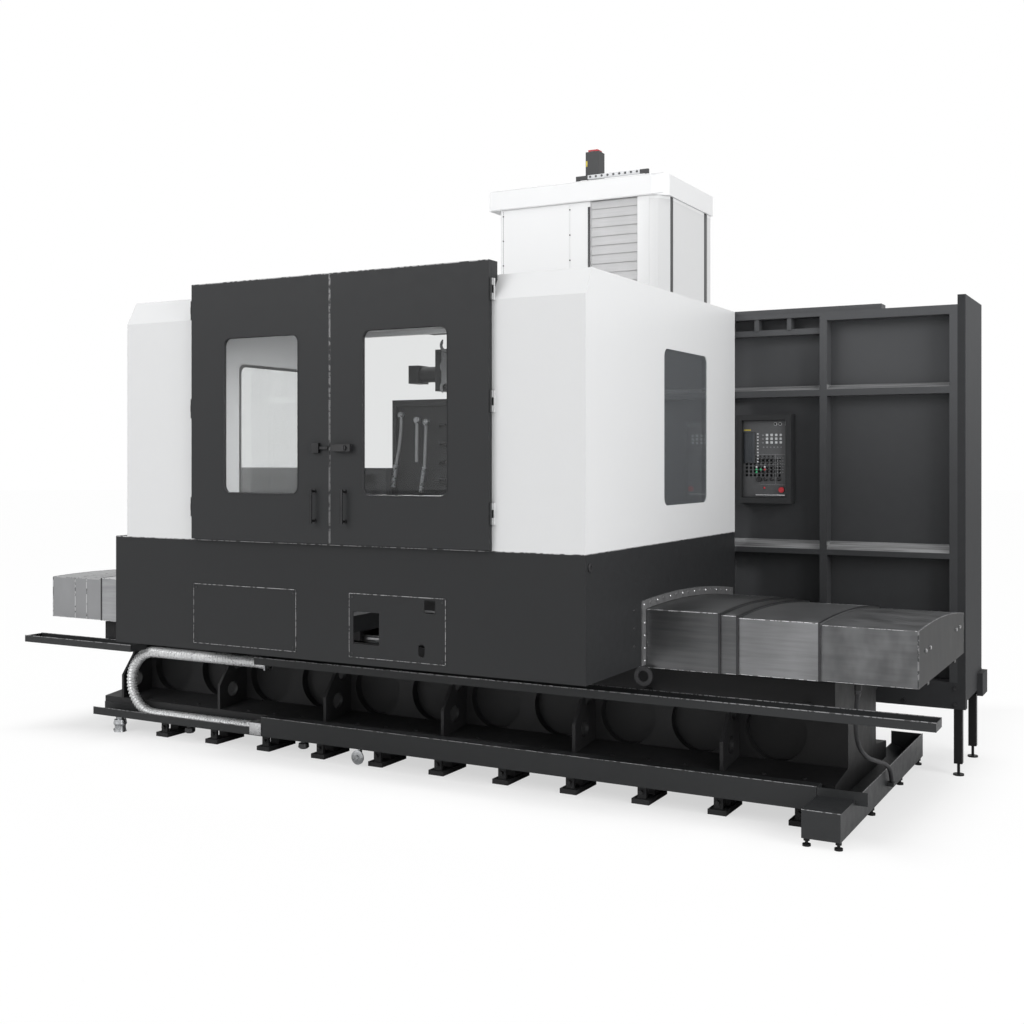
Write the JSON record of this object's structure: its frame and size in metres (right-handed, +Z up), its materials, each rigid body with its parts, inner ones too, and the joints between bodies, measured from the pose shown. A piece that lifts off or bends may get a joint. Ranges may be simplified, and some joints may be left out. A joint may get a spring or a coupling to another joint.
{
  "type": "cnc machining center",
  "caption": "Horizontal boring and milling machining centre: enclosed rotary table on a long bed with telescopic covers, column with side-hung headstock behind.",
  "frame": {"origin": "floor under the middle of the whole machine's plan", "axes": "+X along the long bed to the operator's right, +Y from the operator's side towards the column, +Z up"},
  "size_m": [7.86, 7.19, 5.68],
  "materials": {
    "x_bed": "dark grey paint on a rough casting",
    "z_bed": "dark grey paint on a rough casting",
    "guide_rails": "ground steel",
    "ball_screws": "ground steel",
    "machine_mounts": "dark grey paint, bright screws",
    "cable_tray": "grey painted sheet",
    "coolant_trough": "grey painted sheet",
    "trough_brackets": "dark grey paint on a rough casting",
    "end_trough": "grey painted sheet",
    "levelling_legs": "dark grey paint, bright screws",
    "drain_hose": "black hose",
    "end_covers": "bare brushed sheet steel",
    "rear_platform": "grey painted steel",
    "wall_frame": "dark grey painted steel",
    "wall_panels": "dark grey painted steel",
    "end_wall": "dark grey painted steel",
    "control_panel": "dark grey painted case",
    "changer_housing": "dark grey painted case",
    "changer_drive": "dark grey painted case",
    "emergency_stop": "red button",
    "feed_dial": "black knob",
    "change_arm": "machined steel",
    "magazine_disc": "machined steel",
    "saddle": "machined steel",
    "saddle_covers": "bare brushed sheet steel",
    "skirt": "dark grey painted sheet",
    "skirt_panels": "dark grey painted sheet",
    "cover_seals": "grey riveted flange",
    "enclosure_left": "white painted steel",
    "enclosure_right": "white painted steel",
    "enclosure_roof": "white painted steel",
    "side_windows": "clear safety glass",
    "door_frame": "dark grey painted sheet",
    "door_hinges": "dark hinges",
    "conduit_hose": "galvanised corrugated conduit",
    "hose_bracket": "galvanised bracket",
    "rotary_table": "machined steel",
    "left_door": "charcoal painted sheet",
    "left_door_window": "clear safety glass",
    "left_door_handle": "satin steel bar",
    "right_door": "charcoal painted sheet",
    "right_door_window": "clear safety glass",
    "right_door_handle": "satin steel bar",
    "interlock_switch": "black switch",
    "release_knob": "red knob",
    "right_cover_1": "bare brushed sheet steel",
    "right_cover_2": "bare brushed sheet steel",
    "right_cover_3": "bare brushed sheet steel",
    "left_cover_1": "bare brushed sheet steel",
    "left_cover_2": "bare brushed sheet steel",
    "left_cover_3": "bare brushed sheet steel",
    "column": "dark grey painted sheet",
    "column_housing": "white painted steel",
    "column_cap": "white painted steel",
    "column_motor": "painted motor",
    "upper_way_cover": "steel slats",
    "lower_way_cover": "steel slats",
    "headstock": "grey paint on a casting",
    "spindle_sleeve": "machined steel",
    "boring_spindle": "machined steel"
  },
  "bodies": {
    "base": {"x_bed": "x_bed", "z_bed": "z_bed", "guide_rails": "guide_rails", "ball_screws": "ball_screws", "machine_mounts": "machine_mounts", "cable_tray": "cable_tray", "coolant_trough": "coolant_trough", "trough_brackets": "trough_brackets", "end_trough": "end_trough", "levelling_legs": "levelling_legs", "drain_hose": "drain_hose", "end_covers": "end_covers", "rear_platform": "rear_platform", "wall_frame": "wall_frame", "wall_panels": "wall_panels", "end_wall": "end_wall", "control_panel": "control_panel", "changer_housing": "changer_housing", "changer_drive": "changer_drive"},
    "emergency_stop": {"emergency_stop": "emergency_stop"},
    "feed_dial": {"feed_dial": "feed_dial"},
    "change_arm": {"change_arm": "change_arm"},
    "magazine_disc": {"magazine_disc": "magazine_disc"},
    "saddle": {"saddle": "saddle", "saddle_covers": "saddle_covers", "skirt": "skirt", "skirt_panels": "skirt_panels", "cover_seals": "cover_seals", "enclosure_left": "enclosure_left", "enclosure_right": "enclosure_right", "enclosure_roof": "enclosure_roof", "side_windows": "side_windows", "door_frame": "door_frame", "door_hinges": "door_hinges", "conduit_hose": "conduit_hose", "hose_bracket": "hose_bracket"},
    "rotary_table": {"rotary_table": "rotary_table"},
    "left_door": {"left_door": "left_door", "left_door_window": "left_door_window", "left_door_handle": "left_door_handle"},
    "right_door": {"right_door": "right_door", "right_door_window": "right_door_window", "right_door_handle": "right_door_handle", "interlock_switch": "interlock_switch"},
    "release_knob": {"release_knob": "release_knob"},
    "right_cover_1": {"right_cover_1": "right_cover_1"},
    "right_cover_2": {"right_cover_2": "right_cover_2"},
    "right_cover_3": {"right_cover_3": "right_cover_3"},
    "left_cover_1": {"left_cover_1": "left_cover_1"},
    "left_cover_2": {"left_cover_2": "left_cover_2"},
    "left_cover_3": {"left_cover_3": "left_cover_3"},
    "column": {"column": "column", "column_housing": "column_housing", "column_cap": "column_cap", "column_motor": "column_motor", "upper_way_cover": "upper_way_cover", "lower_way_cover": "lower_way_cover"},
    "headstock": {"headstock": "headstock"},
    "spindle_sleeve": {"spindle_sleeve": "spindle_sleeve"},
    "boring_spindle": {"boring_spindle": "boring_spindle"}
  },
  "joints": [
    {"name": "x_slide", "type": "slide", "parent": "base", "child": "saddle", "axis": [1, 0, 0], "range_m": [-1.5, 1.5], "deforming": ["conduit_hose"]},
    {"name": "table_turn", "type": "hinge", "parent": "saddle", "child": "rotary_table", "pos_m": [0, -1.676, 1.5], "axis": [0, 0, 1], "continuous": true},
    {"name": "left_door_swing", "type": "hinge", "parent": "saddle", "child": "left_door", "pos_m": [-1.195, -3.53, 2], "axis": [0, 0, 1], "range_deg": [-110, 0]},
    {"name": "right_door_swing", "type": "hinge", "parent": "saddle", "child": "right_door", "pos_m": [1.333, -3.53, 2], "axis": [0, 0, 1], "range_deg": [0, 110]},
    {"name": "release_knob_turn", "type": "hinge", "parent": "right_door", "child": "release_knob", "pos_m": [0.217, -3.585, 2.452], "axis": [0, 1, 0], "range_deg": [0, 90]},
    {"name": "right_cover_1_slide", "type": "slide", "parent": "base", "child": "right_cover_1", "axis": [1, 0, 0], "range_m": [-1.09, 1.09]},
    {"name": "right_cover_2_slide", "type": "slide", "parent": "base", "child": "right_cover_2", "axis": [1, 0, 0], "range_m": [-1.03, 1.03]},
    {"name": "right_cover_3_slide", "type": "slide", "parent": "base", "child": "right_cover_3", "axis": [1, 0, 0], "range_m": [-0.55, 0.55]},
    {"name": "left_cover_1_slide", "type": "slide", "parent": "base", "child": "left_cover_1", "axis": [1, 0, 0], "range_m": [-1.09, 1.09]},
    {"name": "left_cover_2_slide", "type": "slide", "parent": "base", "child": "left_cover_2", "axis": [1, 0, 0], "range_m": [-1.03, 1.03]},
    {"name": "left_cover_3_slide", "type": "slide", "parent": "base", "child": "left_cover_3", "axis": [1, 0, 0], "range_m": [-0.55, 0.55]},
    {"name": "column_slide", "type": "slide", "parent": "base", "child": "column", "axis": [0, -1, 0], "range_m": [0, 1.6]},
    {"name": "headstock_slide", "type": "slide", "parent": "column", "child": "headstock", "axis": [0, 0, 1], "range_m": [-0.79, 0.84], "deforming": ["upper_way_cover", "lower_way_cover"]},
    {"name": "spindle_turn", "type": "hinge", "parent": "headstock", "child": "spindle_sleeve", "pos_m": [0, 0.483, 2.4], "axis": [0, 1, 0], "continuous": true},
    {"name": "boring_spindle_slide", "type": "slide", "parent": "spindle_sleeve", "child": "boring_spindle", "axis": [0, -1, 0], "range_m": [0, 0.7]},
    {"name": "magazine_turn", "type": "hinge", "parent": "base", "child": "magazine_disc", "pos_m": [-2.25, -0.5, 1.5], "axis": [0, 1, 0], "continuous": true},
    {"name": "change_arm_turn", "type": "hinge", "parent": "base", "child": "change_arm", "pos_m": [-0.86, -0.52, 3.24], "axis": [0, 1, 0], "continuous": true},
    {"name": "emergency_stop_press", "type": "slide", "parent": "base", "child": "emergency_stop", "axis": [0, 1, 0], "range_m": [0, 0.008], "stiffness_N_per_m": 1500},
    {"name": "feed_dial_turn", "type": "hinge", "parent": "base", "child": "feed_dial", "pos_m": [2.18, -0.64, 2.21], "axis": [0, 1, 0], "range_deg": [-150, 150]}
  ],
  "couplings": [
    {"joint": "right_cover_1_slide", "follows": "x_slide", "ratio": 0.725},
    {"joint": "right_cover_2_slide", "follows": "x_slide", "ratio": 0.685},
    {"joint": "right_cover_3_slide", "follows": "x_slide", "ratio": 0.365},
    {"joint": "left_cover_1_slide", "follows": "x_slide", "ratio": 0.725},
    {"joint": "left_cover_2_slide", "follows": "x_slide", "ratio": 0.685},
    {"joint": "left_cover_3_slide", "follows": "x_slide", "ratio": 0.365}
  ]
}
